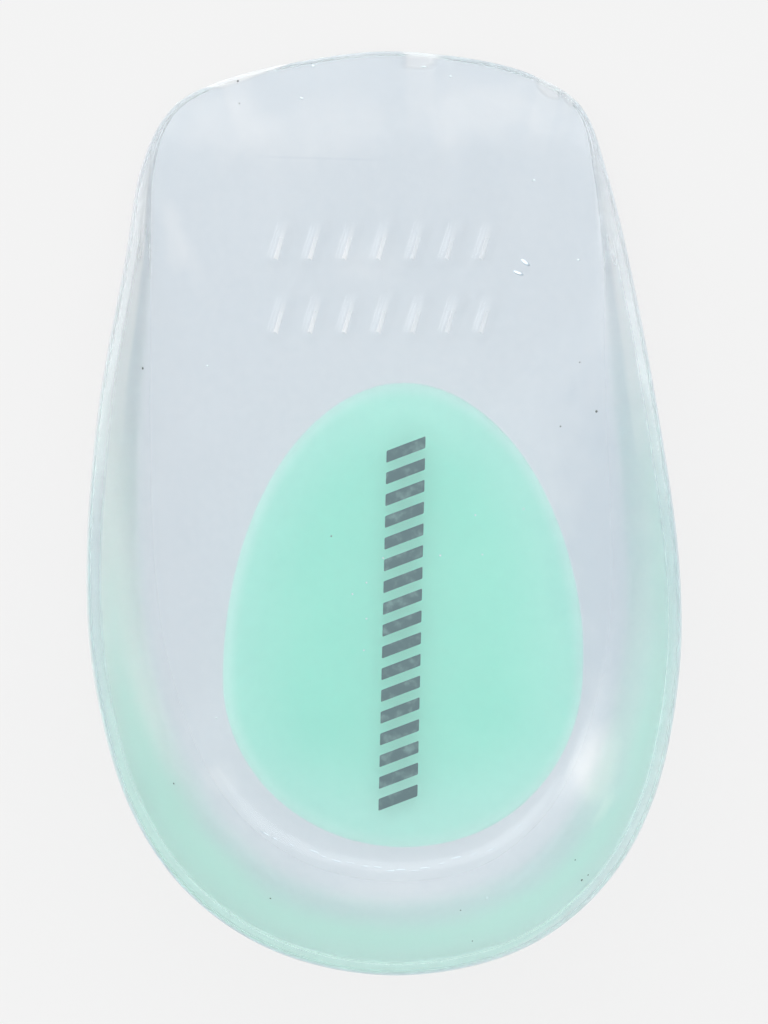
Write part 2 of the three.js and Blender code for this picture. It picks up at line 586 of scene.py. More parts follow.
def closed_curve(points: Sequence[Vector], share: float) -> Vector:
    """A smooth closed curve through points.

    Args:
        points: what it runs through, in order.
        share: how far round it to go, 0 to 1.

    Returns:
        The place there.
    """
    count = len(points)
    whole = math.floor(share * count)
    t = share * count - whole
    before, here, there, after = (points[(whole + k) % count] for k in (-1, 0, 1, 2))
    out, back = (there - before) / 2, (after - here) / 2
    bend = here * 2 - there * 2 + out + back
    sway = there * 3 - here * 3 - out * 2 - back
    return here + out * t + sway * t**2 + bend * t**3


@dataclass
class Station:
    """A place on the rim, with the size of the wall that stands there."""

    edge: Vector
    inward: Vector
    reach: float
    rise: float
    run: float
    splay: float


@dataclass
class EggForm:
    """The pad's egg shape: two half ellipses, in millimetres."""

    width: float = 41.4
    front_reach: float = 33.7
    back_reach: float = 19.2
    centre: Vector = field(default_factory=lambda: Vector((2.3, -19.2, 0.0)))
    edge_thickness: float = 1.4
    shoulder: float = 4.5
    top: float = 4.2

    def point(self, way: Vector, inset: float, height: float) -> Vector:
        """The outline's point that lies that way from the middle.

        Args:
            way: a direction from the middle.
            inset: how far the outline is drawn in.
            height: the point's height.

        Returns:
            The point.
        """
        across = self.width / 2 - inset
        along = (self.front_reach if way.y > 0 else self.back_reach) - inset
        angle = math.atan2(way.y / along, way.x / across)
        return self.centre + Vector((across * math.cos(angle), along * math.sin(angle), height))

    def profile(self, way: Vector, inset: float, steps: int) -> list[Vector]:
        """The pad's side from the middle of its top, over its shoulder, to its lower edge.

        Args:
            way: the direction from the middle.
            inset: how far the whole form is drawn in.
            steps: how many points the shoulder has.

        Returns:
            The points, from the top down.
        """
        rows = []
        for k in range(steps + 1):
            turn = math.pi / 2 * (1 - k / steps)
            height = self.edge_thickness - inset
            height += (self.top - self.edge_thickness) * math.sin(turn)
            rows.append(self.point(way, inset + self.shoulder * (1 - math.cos(turn)), height))
        return rows


@dataclass
class CupForm:
    """The cup's sizes in millimetres, and the surface that they give."""

    seat_thickness: float = 6.5
    crease_thickness: float = 3.6
    front_thickness: float = 1.3
    crease_from_front: float = 12.0
    bend_softness: float = 2.5
    slope_start: float = 14.5
    wall_rise: float = 14.0
    wall_run: float = 12.0
    wall_splay: float = 8.0
    wall_curve: float = 2.0
    lip_thickness: float = 1.9
    lips_in_height: float = 6.0
    spine_share: float = 0.5
    stations_round: int = 480
    outer_steps: int = 20
    lip_steps: int = 14
    inner_steps: int = 26
    seat_steps: int = 24
    sole_steps: int = 4
    egg: EggForm = field(default_factory=EggForm)
    recess_inset: float = 0.02
    recess_steps: int = 10

    def __post_init__(self) -> None:
        """Takes the outline's length and width from the frame."""
        low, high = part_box("silicone_cup")
        self.half_length = (high.y - low.y) / 2 / MM
        self.half_width = (high.x - low.x) / 2 / MM
        self.crease = self.half_length - self.crease_from_front
        self.stations = self._stations()

    def seat_height(self, y: float) -> float:
        """How high the seat is over the floor.

        Args:
            y: a place along the cup.

        Returns:
            The height.
        """
        slope = (self.seat_thickness - self.crease_thickness) / (self.crease - self.slope_start)
        bevel = (self.crease_thickness - self.front_thickness) / self.crease_from_front
        fall = slope * self._bend(y - self.slope_start)
        return self.seat_thickness - fall - (bevel - slope) * self._bend(y - self.crease)

    def _bend(self, past: float) -> float:
        """A straight rise after a bend, with a soft curve into it.

        Args:
            past: how far past the bend a place is.

        Returns:
            The rise, 0 before the bend.
        """
        if abs(past) >= self.bend_softness:
            return max(past, 0.0)
        return (past + self.bend_softness) ** 2 / (4 * self.bend_softness)

    def _stations(self) -> list[Station]:
        """Works out the wall at each place round the rim.

        Returns:
            The stations, anticlockwise from the back.
        """
        right = [(row.right, row) for row in RIM_ROWS]
        left = [(row.left, row) for row in reversed(RIM_ROWS[1:-1])]
        rows = right + left
        outline = [Vector((across, row.along, 0.0)) for across, row in rows]
        wall = [Vector((row.rise, row.run, row.splay)) for _, row in rows]
        shares = [k / self.stations_round for k in range(self.stations_round)]
        edges = [closed_curve(outline, share) for share in shares]
        low = Vector([min(edge[k] for edge in edges) for k in range(3)])
        high = Vector([max(edge[k] for edge in edges) for k in range(3)])
        for edge in edges:
            edge.x = mix(-self.half_width, self.half_width, (edge.x - low.x) / (high.x - low.x))
            edge.y = mix(-self.half_length, self.half_length, (edge.y - low.y) / (high.y - low.y))
        made = []
        for k, (edge, share) in enumerate(zip(edges, shares)):
            facing = edges[-k % self.stations_round]
            spine = Vector((0.0, (edge.y + facing.y) / 2 * self.spine_share, 0.0))
            sizes = closed_curve(wall, share)
            made.append(
                Station(
                    edge=edge,
                    inward=(spine - edge).normalized(),
                    reach=(spine - edge).length,
                    rise=max(sizes.x, 0.0) * self.wall_rise,
                    run=sizes.y * self.wall_run,
                    splay=sizes.z * self.wall_splay,
                )
            )
        return made

    def section(self, station: Station) -> list[Vector]:
        """The cup's section at one station.

        Args:
            station: the place on the rim.

        Returns:
            Points from the middle of the recess, under the sole, up the wall, over the lip
            and down to the middle line of the seat.
        """
        rim = self.seat_height(station.edge.y) + station.rise
        radius = min(self.lip_thickness / 2, rim / self.lips_in_height)
        last_turn = math.atan2(station.run, self.wall_curve * station.rise)
        sole_edge = station.edge + station.inward * station.splay
        way = sole_edge - self.egg.centre
        recess = self.egg.profile(way, self.recess_inset, self.recess_steps)
        middle = self.egg.centre + Vector((0.0, 0.0, recess[0].z))
        inner = Vector((recess[-1].x, recess[-1].y, 0.0))
        points = [middle, *recess, inner]
        points += [inner.lerp(sole_edge, k / self.sole_steps) for k in range(1, self.sole_steps)]

        def add(inset: float, height: float) -> None:
            """Adds the point that lies that far in from the rim, at that height."""
            place = station.edge + station.inward * inset
            points.append(Vector((place.x, place.y, height)))

        for k in range(self.outer_steps):
            share = k / self.outer_steps
            add(station.splay * (1 - share), (rim - radius) * share**self.wall_curve)
        for k in range(self.lip_steps + 1):
            turn = mix(math.pi, last_turn, k / self.lip_steps)
            add(radius + radius * math.cos(turn), rim - radius + radius * math.sin(turn))
        lip_inset = radius + radius * math.cos(last_turn)
        wall_height = points[-1].z - self.seat_height(station.edge.y)

        def add_seat(inset: float, share: float) -> None:
            """Adds a point of the inner wall, which ends at a share of 1, or of the seat."""
            y = station.edge.y + station.inward.y * inset
            add(inset, self.seat_height(y) + wall_height * (1 - share) ** self.wall_curve)

        for k in range(1, self.inner_steps + 1):
            share = k / self.inner_steps
            add_seat(lip_inset + station.run * share, share)
        foot = lip_inset + station.run
        for k in range(1, self.seat_steps + 1):
            add_seat(mix(foot, station.reach, k / self.seat_steps), 1.0)
        return points


@dataclass
class GripRibs:
    """Two rows of slanted ribs with stepped tops, in millimetres."""

    row_length: float = 31.0
    rows_from_crease: tuple[float, ...] = (9.8, 18.2)
    pitch: float = 3.9
    length: float = 6.4
    width: float = 2.4
    slant: float = 18.0
    root: float = 0.6
    sunk: float = 0.06
    draft: float = 0.27
    tier_heights: tuple[float, ...] = (0.2, 0.14, 0.12)
    tier_land: float = 0.13
    round_steps: int = 24

    def build(self, cup: CupForm) -> bmesh.types.BMesh:
        """All the ribs in one mesh.

        Args:
            cup: the form whose seat they stand on.

        Returns:
            The mesh, with one closed body for each rib.
        """
        form = bmesh.new()
        count = math.floor(self.row_length / self.pitch)
        for back in self.rows_from_crease:
            for k in range(count):
                across = (k - (count - 1) / 2) * self.pitch
                self._rib(form, cup, Vector((across, cup.crease - back, 0.0)))
        bmesh.ops.recalc_face_normals(form, faces=form.faces)
        return form

    def _rib(self, form: bmesh.types.BMesh, cup: CupForm, middle: Vector) -> None:
        """Adds one rib.

        Args:
            form: the mesh that holds the ribs.
            cup: the form whose seat it stands on.
            middle: the place of its middle, seen from above.
        """
        before = set(form.verts)
        disc = bmesh.ops.create_circle(
            form, cap_ends=True, segments=self.round_steps, radius=self.width / 2
        )
        straight = (self.length - self.width) / 2
        for vert in disc["verts"]:
            vert.co.y += math.copysign(straight, vert.co.y + TINY)
            vert.co.z = -self.root
        base = disc["verts"][0].link_faces[0]
        top = bmesh.ops.extrude_face_region(form, geom=[base], use_keep_orig=True)["geom"]
        lifted = [item for item in top if isinstance(item, bmesh.types.BMVert)]
        bmesh.ops.translate(form, vec=(0.0, 0.0, self.root - self.sunk), verts=lifted)
        cap = next(item for item in top if isinstance(item, bmesh.types.BMFace))
        if cap.normal.z < 0:
            cap.normal_flip()
        for tier, height in enumerate(self.tier_heights):
            if tier > 0:
                bmesh.ops.inset_region(form, faces=[cap], thickness=self.tier_land, depth=0.0)
            bmesh.ops.inset_region(form, faces=[cap], thickness=self.draft, depth=height)
        made = [vert for vert in form.verts if vert not in before]
        turn = Matrix.Rotation(-math.radians(self.slant), 3, "Z")
        bmesh.ops.rotate(form, cent=(0.0, 0.0, 0.0), matrix=turn, verts=made)
        bmesh.ops.translate(form, vec=middle, verts=made)
        for vert in made:
            vert.co.z += cup.seat_height(vert.co.y)


class GlowRow(NamedTuple):
    """How the painted reflection of the pad's colour shows in the wall, on the left and on the
    right, from the back on.

    strength is a share, clear is the untinted lip and width the tinted band, in millimetres.
    """

    along: float
    left_strength: float
    right_strength: float
    left_clear: float
    right_clear: float
    left_width: float
    right_width: float


# Painted reflection of the pad's colour in the wall, row by row.
GLOW_ROWS = [
    GlowRow(-1.00, 0.95, 0.95, 0.2, 0.3, 5.0, 5.0),
    GlowRow(-0.80, 1.00, 0.85, 0.2, 1.2, 5.6, 4.9),
    GlowRow(-0.63, 0.95, 0.80, 0.4, 1.4, 5.2, 3.6),
    GlowRow(-0.41, 0.75, 0.62, 0.8, 0.9, 3.8, 2.9),
    GlowRow(-0.24, 0.35, 0.50, 0.9, 0.7, 3.6, 2.4),
    GlowRow(-0.06, 0.05, 0.36, 1.0, 0.6, 3.2, 2.1),
    GlowRow(0.11, 0.00, 0.20, 1.0, 0.6, 3.0, 2.0),
    GlowRow(0.26, 0.00, 0.00, 1.0, 0.6, 3.0, 2.0),
]


def glow_at(along: float, right: bool) -> tuple[float, float, float]:
    """The painted pad reflection's strength, clear lip and width at a place along the cup.

    Args:
        along: the place, as a share of half the cup's length.
        right: whether it is on the right side.

    Returns:
        The strength and the two widths.
    """
    after = next((k for k, row in enumerate(GLOW_ROWS) if row.along > along), len(GLOW_ROWS) - 1)
    low, high = GLOW_ROWS[max(after - 1, 0)], GLOW_ROWS[after]
    share = min(max((along - low.along) / max(high.along - low.along, TINY), 0.0), 1.0)
    side = "right" if right else "left"
    names = [f"{side}_{measure}" for measure in ("strength", "clear", "width")]
    strength, clear, width = (mix(getattr(low, n), getattr(high, n), share) for n in names)
    return strength, clear, width


class Outline(Enum):
    """The shape of a flaw, seen from above."""

    STRIP = "strip"
    ROUND = "round"


@dataclass(frozen=True)
class Flaw:
    """A place where the front edge is thin, in millimetres across the cup and in from its rim."""

    outline: Outline
    start: float
    end: float
    depth: float
    left_soft: float
    right_soft: float
    thickness_left: float
    edge_soft: float = 0.12
    shallow: Ramp = Ramp(0.0, 0.15)

    def height_left(self, flat: Vector, inside: float) -> float:
        """The share of the height that is left at one place.

        Args:
            flat: the place, seen from above.
            inside: how far in from the outline it lies.

        Returns:
            A share, 1 away from the flaw.
        """
        if flat.y < 0 or not self.start < flat.x < self.end:
            return 1.0
        reach = smooth(flat.x, self.start, self.start + self.left_soft)
        reach *= 1 - smooth(flat.x, self.end - self.right_soft, self.end)
        if self.outline is Outline.ROUND:
            aside = (flat.x - (self.start + self.end) / 2) / ((self.end - self.start) / 2)
            reach *= math.sqrt(max(1 - aside * aside, 0.0))
        edge = reach * self.depth
        share = smooth(inside, edge - self.edge_soft, edge + self.edge_soft)
        return mix(1.0, mix(self.thickness_left, 1.0, share), self.shallow.rise(edge))


FLAWS = [
    Flaw(Outline.STRIP, -21.0, -9.6, 0.85, 3.0, 7.5, 0.28),
    Flaw(Outline.STRIP, 2.1, 7.2, 1.8, 0.5, 2.8, 0.4),
    Flaw(Outline.ROUND, 17.2, 20.4, 1.5, 0.4, 0.4, 0.55),
    Flaw(Outline.ROUND, 20.2, 22.2, 0.9, 0.3, 0.6, 0.6),
]


@dataclass(frozen=True)
class Patch:
    """A soft oval place where the silicone is paler or, below zero, darker, in millimetres; most
    are painted highlights, and the one below zero is painted shade.
    """

    x: float
    y: float
    length: float
    width: float
    turn: float
    strength: float
    waver: float = 0.35
    wave: float = 3.0
    fade: Ramp = Ramp(0.25, 1.0)
    far_off: float = 2.0

    def strength_at(self, flat: Vector) -> float:
        """How much it adds at one place.

        Args:
            flat: the place, seen from above.

        Returns:
            A share, 0 far from the patch.
        """
        away = Matrix.Rotation(-math.radians(self.turn), 3, "Z") @ (
            flat - Vector((self.x, self.y, 0.0))
        )
        far = math.hypot(away.x / self.width, away.y / self.length)
        if far > self.far_off:
            return 0.0
        far += noise.noise(flat / self.wave) * self.waver
        return self.strength * self.fade.fall(far)


# Painted highlights at (11, 45.7), (-17.2, 43.4), (-24, 31), (24.2, -29.4), (25, -33.8) and (-19,
# -30.5); painted shade on the right side at (26, -6).
PATCHES = [
    Patch(x=11.0, y=45.7, length=5.0, width=10.0, turn=8.0, strength=0.24),
    Patch(x=-17.2, y=43.4, length=5.0, width=9.0, turn=-15.0, strength=0.18),
    Patch(x=-24.0, y=31.0, length=5.0, width=2.2, turn=10.0, strength=0.2),
    Patch(x=24.2, y=-29.4, length=7.0, width=2.8, turn=-20.0, strength=0.5),
    Patch(x=-6.0, y=44.0, length=4.5, width=9.0, turn=5.0, strength=0.14),
    Patch(x=-2.0, y=28.5, length=3.5, width=6.0, turn=0.0, strength=0.12),
    Patch(x=25.0, y=-33.8, length=3.2, width=0.7, turn=-35.0, strength=0.4, waver=0.15),
    Patch(x=-19.0, y=-30.5, length=2.8, width=1.6, turn=35.0, strength=0.15),
    Patch(x=26.0, y=-6.0, length=30.0, width=9.0, turn=0.0, strength=-0.18),
    Patch(x=2.0, y=-43.5, length=1.8, width=14.0, turn=0.0, strength=0.1),
]


@dataclass(frozen=True)
class Paleness:
    """How pale the silicone is from place to place, as shares from dense to pale; the wall and
    side terms are painted light, and the patches add painted highlights and painted shade.

    A ramp named along or across is in millimetres. One named lean is a share of the outer
    wall's lean, and one named down is how much a face looks down.
    """

    body: float = 0.17
    slope: float = 0.03
    slope_along: Ramp = Ramp(-10.0, 25.0)
    right_across: Ramp = Ramp(-5.0, 5.0)
    # Painted light: the wall's steep faces are paler, less so on the right and not at the back.
    wall: float = 0.7
    wall_right: float = 0.5
    wall_along: Ramp = Ramp(-40.0, -20.0)
    wall_down: Ramp = Ramp(-0.75, -0.55)
    under_down: Ramp = Ramp(0.45, 0.7)
    # Painted light: the rim zone within the outer wall's lean is paler from the middle forwards,
    # most on the right, least at the front.
    side: float = 0.55
    side_right: float = 0.75
    side_along: Ramp = Ramp(-6.0, 12.0)
    side_lean: Ramp = Ramp(0.7, 0.85)
    front: float = 0.12
    front_along: Ramp = Ramp(33.0, 43.0)
    band: float = 0.3
    band_lean: Ramp = Ramp(0.1, 0.25)
    band_across: Ramp = Ramp(5.0, 15.0)
    band_along: Ramp = Ramp(-20.0, -5.0)

    def at(self, flat: Vector, lean: float, down: float) -> float:
        """How pale the silicone is at one place.

        Args:
            flat: the place, seen from above.
            lean: how far in from the outline it lies, as a share of the outer wall's lean.
            down: how much the surface faces down, from -1 to 1.

        Returns:
            A share.
        """
        right = self.right_across.rise(flat.x)
        wall = self.wall_down.rise(down) * self.under_down.fall(down)
        wall *= self.wall * self.wall_along.rise(flat.y) * mix(1.0, self.wall_right, right)
        side = self.side_along.rise(flat.y) * self.side_lean.fall(lean)
        side *= mix(1.0, self.side_right, right)
        side *= mix(self.side, self.front, self.front_along.rise(flat.y))
        band = self.band * self.band_lean.fall(lean)
        band *= self.band_across.rise(flat.x) * self.band_along.fall(flat.y)
        value = self.body + self.slope * self.slope_along.rise(flat.y) + max(wall, side, band)
        return value + sum(patch.strength_at(flat) for patch in PATCHES)


@dataclass
class SiliconeCup:
    """The one-piece moulded cup."""

    form: CupForm = field(default_factory=CupForm)
    ribs: GripRibs = field(default_factory=GripRibs)
    finish: ClearSilicone = field(default_factory=ClearSilicone)
    paleness: Paleness = field(default_factory=Paleness)
    sharp: float = 16.0
    rim_parts: int = 4
    # Painted reflection: the lip and glow fields shape where the pad's colour shows in the wall.
    lip_soft: float = 0.5
    lip_least: float = 0.1
    glow_start: float = 1.0
    glow_fade: float = 1.8
    glow_waver: float = 0.7
    glow_patch: float = 7.0
    flaw_paleness: float = 0.5
    steep_down: Ramp = Ramp(-0.9, -0.82)
    outer_down: Ramp = Ramp(-0.2, 0.2)
    # Painted highlight: these place the pale glow along the rim, strongest at the front.
    edge_inside: Ramp = Ramp(0.1, 0.55)
    edge_along: Ramp = Ramp(25.0, 40.0)
    edge_behind: float = 0.4

    def build(self) -> bpy.types.Object:
        """Makes the cup.

        Returns:
            The finished cup, in place of its solid.
        """
        piece = Piece("silicone_cup_shell")
        drape(piece.form, [self.form.section(station) for station in self.form.stations])
        piece.merge()
        shell = piece.place(self.finish.material(), self.sharp)
        self._add_ribs(shell)
        self._dress(shell.data)
        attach(shell, "root")
        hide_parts("silicone_cup")
        return shell

    def _add_ribs(self, shell: bpy.types.Object) -> None:
        """Joins the ribs to the shell, so that both are one clear body.

        Args:
            shell: the cup's object.
        """
        ribs = self.ribs.build(self.form)
        bmesh.ops.scale(ribs, vec=(MM, MM, MM), verts=ribs.verts)
        tool = to_object(ribs, "ribs")
        join = shell.modifiers.new("ribs", "BOOLEAN")
        join.operation = "UNION"
        join.solver = "EXACT"
        join.object = tool
        bpy.context.view_layer.update()
        finished = shell.evaluated_get(bpy.context.evaluated_depsgraph_get())
        joined = bpy.data.meshes.new_from_object(finished)
        shell.modifiers.clear()
        shell.data = joined
        soften(joined, self.sharp)
        bpy.data.objects.remove(tool)

    def _dress(self, mesh: bpy.types.Mesh) -> None:
        """Cuts the front edge's flaws and writes where the painted reflection of the pad tints
        the surface, where it is pale, partly as painted light, and where its edge carries a
        painted highlight glow.

        Args:
            mesh: the cup's mesh.
        """
        edges = [station.edge for station in self.form.stations]
        outline = KDTree(len(edges) * self.rim_parts)
        for k, (edge, end) in enumerate(zip(edges, edges[1:] + edges[:1])):
            for part in range(self.rim_parts):
                outline.insert(edge.lerp(end, part / self.rim_parts), k)
        outline.balance()
        names = ("mint", "pale", "steep", "outer", "edge")
        for name in names:
            mesh.attributes.new(name, "FLOAT", "POINT")
        mint, pale, steep, outer, bright = (mesh.attributes[name].data for name in names)
        downward = [-vert.normal.z for vert in mesh.vertices]
        for k, (vert, down) in enumerate(zip(mesh.vertices, downward)):
            flat = Vector((vert.co.x / MM, vert.co.y / MM, 0.0))
            rim, near, inside = outline.find(flat)
            lean = inside / self.form.stations[near].splay
            left = min(flaw.height_left(flat, inside) for flaw in FLAWS)
            vert.co.z *= left
            mint[k].value = self._glow(flat, rim, inside)
            pale[k].value = self.paleness.at(flat, lean, down) + (1 - left) * self.flaw_paleness
            steep[k].value = self.steep_down.rise(down)
            outer[k].value = self.outer_down.rise(down)
            # Painted highlight glow along the rim.
            front = mix(self.edge_behind, 1.0, self.edge_along.rise(flat.y))
            bright[k].value = front * self.edge_inside.fall(inside)

    def _glow(self, flat: Vector, rim: Vector, inside: float) -> float:
        """How much painted reflection of the pad's colour shows at one place.

        Args:
            flat: the place, seen from above.
            rim: the nearest point of the outline.
            inside: how far in from the outline it lies.

        Returns:
            A share.
        """
        strength, clear, width = glow_at(rim.y / self.form.half_length, rim.x > 0)
        waver = noise.noise(flat / self.glow_patch) * self.glow_waver
        soft = clear * self.lip_soft
        start = Ramp(clear - soft, clear + soft + self.lip_least)
        end = Ramp(width - self.glow_start, width + self.glow_fade)
        return strength * start.rise(inside) * end.fall(inside + waver)


@dataclass
class GelPad:
    """The softer pad under the heel, flush with the sole."""

    egg: EggForm = field(default_factory=EggForm)
    finish: MintGel = field(default_factory=MintGel)
    columns: int = 192
    shoulder_steps: int = 16
    top_steps: int = 8
    pale_rim: float = 2.0
    pale_border: float = 0.35
    pale_back: float = 0.3
    back_along: Ramp = Ramp(-17.0, -4.0)
    border: float = 11.0
    sharp: float = 50.0

    def build(self) -> bpy.types.Object:
        """Makes the pad.

        Returns:
            The finished pad, in place of its solid.
        """
        piece = Piece("gel_pad_soft")
        turns = [2 * math.pi * k / self.columns for k in range(self.columns)]
        drape(piece.form, [self._column(turn) for turn in turns])
        piece.merge()
        pad = piece.place(self.finish.material(), self.sharp)
        self._dress(pad.data)
        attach(pad, "root")
        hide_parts("gel_pad")
        return pad

    def _column(self, angle: float) -> list[Vector]:
        """One line of the pad's surface.

        Args:
            angle: which way it runs, seen from above.

        Returns:
            Points from the middle of the pad's top to that of its sole.
        """
        way = Vector((math.cos(angle), math.sin(angle), 0.0))
        side = self.egg.profile(way, 0.0, self.shoulder_steps)
        top = self.egg.centre + Vector((0.0, 0.0, side[0].z))
        rows = [top.lerp(side[0], k / self.top_steps) for k in range(self.top_steps)] + side
        foot = side[-1].copy()
        foot.z = 0.0
        return rows + [foot, self.egg.centre.copy()]

    def _dress(self, mesh: bpy.types.Mesh) -> None:
        """Writes how pale the gel is: most at its thin edge.

        Args:
            mesh: the pad's mesh.
        """
        edge = mesh.attributes.new("edge", "FLOAT", "POINT")
        for vert, value in zip(mesh.vertices, edge.data):
            place = vert.co / MM - self.egg.centre
            outer = self.egg.point(place, 0.0, 0.0) - self.egg.centre
            inside = outer.length - Vector((place.x, place.y, 0.0)).length
            thin = 1 - smooth(inside, 0.0, self.pale_rim)
            share = self.pale_border * (1 - smooth(inside, 0.0, self.border))
            share += self.pale_back * self.back_along.fall(place.y)
            value.value = mix(thin, 1.0, share)


@dataclass
class PrintedBars:
    """A printed row of slanted bars on the seat, in millimetres."""

    middle: Vector = field(default_factory=lambda: Vector((2.05, -12.85, 0.0)))
    row_length: float = 41.0
    width: float = 4.4
    bar: float = 1.35
    count: int = 17
    slant: float = 22.0
    tilt: float = -1.3
    thickness: float = 0.03
    sunk: float = 0.015
    corner: float = 0.12
    corner_steps: int = 3
    sharp: float = 40.0
    finish: GreyInk = field(default_factory=GreyInk)

    def build(self, cup: CupForm) -> bpy.types.Object:
        """The finished print.

        Args:
            cup: the form whose seat carries it.

        Returns:
            The object.
        """
        piece = Piece("printed_bars")
        pitch = (self.row_length - self.bar) / (self.count - 1)
        for k in range(self.count):
            self._bar(piece.form, (k - (self.count - 1) / 2) * pitch)
        turn = Matrix.Rotation(math.radians(self.tilt), 3, "Z")
        verts = piece.form.verts
        bmesh.ops.rotate(piece.form, cent=(0.0, 0.0, 0.0), matrix=turn, verts=verts)
        bmesh.ops.translate(piece.form, vec=self.middle, verts=verts)
        for vert in verts:
            vert.co.z += cup.seat_height(vert.co.y) + self.thickness / 2 - self.sunk
        bars = piece.place(self.finish.material(), self.sharp)
        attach(bars, "root")
        return bars

    def _bar(self, form: bmesh.types.BMesh, along: float) -> None:
        """Adds one bar.

        Args:
            form: the mesh that holds the bars.
            along: how far along the row its middle lies.
        """
        cube = bmesh.ops.create_cube(form, size=1.0)["verts"]
        bmesh.ops.scale(form, vec=(self.width, self.bar, self.thickness), verts=cube)
        edges = dict.fromkeys(edge for vert in cube for edge in vert.link_edges)
        uprights = [edge for edge in edges if edge.verts[0].co.xy == edge.verts[1].co.xy]
        rounded = bmesh.ops.bevel(
            form,
            geom=uprights,
            offset=self.corner,
            offset_type="OFFSET",
            segments=self.corner_steps,
            profile=0.5,
            affect="EDGES",
            material=-1,
        )
        verts = {vert for face in rounded["faces"] for vert in face.verts}
        for vert in verts | {vert for vert in cube if vert.is_valid}:
            vert.co.y += along + vert.co.x * math.tan(math.radians(self.slant))


class Spot(NamedTuple):
    """A fleck: where it lies on the cup, seen from above, and its radius, in millimetres.

    length is how many times longer than wide it is, and turn the way it points, in degrees.
    """

    x: float
    y: float
    radius: float
    length: float = 1.0
    turn: float = 0.0


DUST = [
    Spot(-27.5, 16.2, 0.17),
    Spot(24.2, 11.3, 0.16),
    Spot(20.1, 9.6, 0.1),
    Spot(-23.9, -31.0, 0.11),
    Spot(-12.9, -44.0, 0.11),
    Spot(22.4, -41.8, 0.15),
    Spot(23.1, -41.2, 0.1),
    Spot(21.7, -39.6, 0.1),
    Spot(8.7, -45.4, 0.1),
    Spot(10.0, -48.7, 0.1),
    Spot(-6.0, -2.9, 0.1),
    Spot(22.3, 16.9, 0.09),
    Spot(-16.7, 49.1, 0.14),
    Spot(-16.5, 46.5, 0.09),
]
BUBBLES = [
    Spot(10.4, -0.5, 0.11),
    Spot(15.9, 0.2, 0.1),
    Spot(6.4, -5.1, 0.12),
    Spot(11.2, -5.0, 0.1),
    Spot(-0.1, -5.4, 0.1),
    Spot(-3.6, -9.5, 0.11),
    Spot(-2.3, -15.9, 0.1),
    Spot(-2.0, -12.3, 0.1),
    Spot(-2.0, -8.2, 0.1),
    Spot(-19.1, -23.6, 0.12, 1.8, -10.0),
    Spot(-8.1, 50.8, 0.16, 1.7, -5.0),
    Spot(-9.4, 47.1, 0.14, 1.9, -15.0),
    Spot(-20.1, 16.5, 0.13, 1.5),
    Spot(22.2, 28.6, 0.14, 1.4),
    Spot(17.1, 37.7, 0.13, 1.8, 20.0),
    Spot(11.7, -44.0, 0.12, 1.3, 50.0),
    Spot(4.6, 50.7, 0.16, 2.0),
    Spot(7.6, 49.6, 0.13, 1.4),
]
# Painted glints: the first two on nicks beside the ribs, and the others on wrinkles behind the
# pad.
WRINKLE_GLINTS = [
    Spot(16.1, 28.3, 0.24, 2.8, -38.0),
    Spot(15.3, 27.1, 0.2, 3.4, -22.0),
    Spot(-13.6, -36.7, 0.08, 8.0, -27.0),
    Spot(-12.5, -37.3, 0.07, 6.0, -18.0),
    Spot(-10.6, -38.0, 0.06, 7.0, -24.0),
    Spot(-8.0, -38.8, 0.08, 8.0, -20.0),
    Spot(-6.9, -39.4, 0.07, 5.0, -9.0),
    Spot(-5.4, -39.9, 0.09, 7.0, -14.0),
    Spot(-3.9, -40.1, 0.06, 9.0, -9.0),
    Spot(-2.2, -40.5, 0.08, 5.0, -3.0),
    Spot(-0.8, -40.6, 0.07, 8.0, -6.0),
    Spot(0.7, -41.0, 0.08, 6.0, 3.0),
    Spot(1.9, -40.9, 0.09, 8.0, 0.0),
    Spot(3.4, -41.0, 0.06, 7.0, 6.0),
    Spot(4.6, -40.7, 0.08, 8.0, 5.0),
    Spot(6.6, -40.2, 0.06, 7.0, 9.0),
    Spot(8.3, -39.5, 0.08, 8.0, 13.0),
    Spot(10.3, -39.1, 0.06, 6.0, 14.0),
    Spot(12.2, -38.6, 0.07, 8.0, 19.0),
    Spot(15.4, -35.9, 0.06, 8.0, 36.0),
]


@dataclass
class Flecks:
    """Dust on the cup, small air bubbles just under its skin, or painted glints on the wrinkles
    of its seat.
    """

    name: str
    spots: list[Spot]
    finish: Fleck
    flatness: float = 0.6
    sunk: float = 0.4
    fineness: int = 2
    sharp: float = 60.0
    overhead: float = 100.0

    def build(self, shell: bpy.types.Object) -> bpy.types.Object:
        """The finished flecks.

        Args:
            shell: the cup's shell, which carries them.

        Returns:
            The object.
        """
        places = [vert.co / MM for vert in shell.data.vertices]
        surface = BVHTree.FromPolygons(places, [face.vertices for face in shell.data.polygons])
        piece = Piece(self.name)
        form = piece.form
        for spot in self.spots:
            above = Vector((spot.x, spot.y, self.overhead))
            place = surface.ray_cast(above, Vector((0.0, 0.0, -1.0)))[0]
            ball = bmesh.ops.create_icosphere(
                form, subdivisions=self.fineness, radius=spot.radius
            )["verts"]
            bmesh.ops.scale(form, vec=(spot.length, 1.0, self.flatness), verts=ball)
            turn = Matrix.Rotation(math.radians(spot.turn), 3, "Z")
            bmesh.ops.rotate(form, cent=(0.0, 0.0, 0.0), matrix=turn, verts=ball)
            down = Vector((0.0, 0.0, spot.radius * self.sunk))
            bmesh.ops.translate(form, vec=place - down, verts=ball)
        made = piece.place(self.finish.material(), self.sharp)
        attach(made, "root")
        return made


